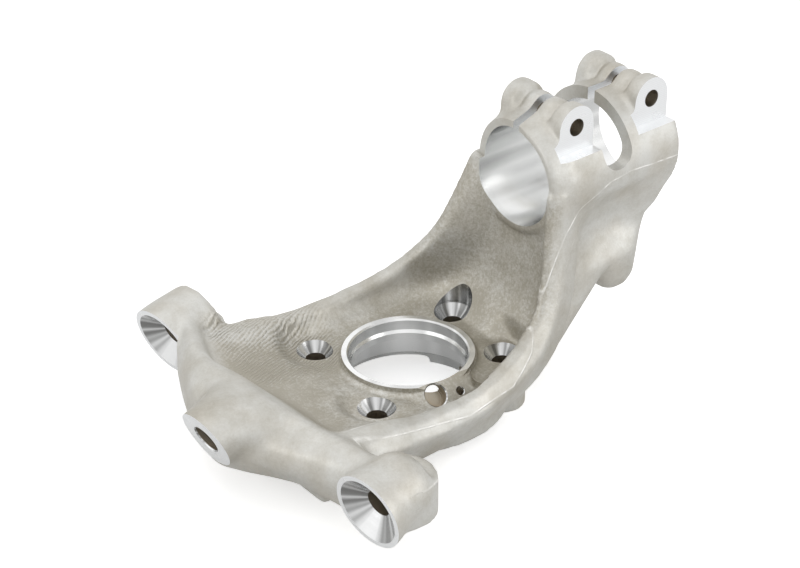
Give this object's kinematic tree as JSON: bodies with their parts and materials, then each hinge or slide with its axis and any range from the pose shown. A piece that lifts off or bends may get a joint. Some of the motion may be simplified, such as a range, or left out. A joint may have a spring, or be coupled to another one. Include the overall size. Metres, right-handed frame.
{
  "type": "steering knuckle",
  "caption": "Forged aluminium steering knuckle with a stepped hub bore, a split strut clamp with pinch-bolt ears, ball joint eyes and a steering boss.",
  "frame": {"origin": "on the hub axis in the plane of the bearing shoulder, the step inside the hub bore", "axes": "+Z inboard along the hub axis; +X from the hub towards the strut clamp, along the clamp bore; +Y from the right eye to the left eye"},
  "size_m": [0.3485, 0.2626, 0.1926],
  "materials": {
    "knuckle": "satin blasted forging skin with bright machined faces"
  },
  "bodies": {
    "root": {"knuckle": "knuckle"}
  },
  "joints": []
}
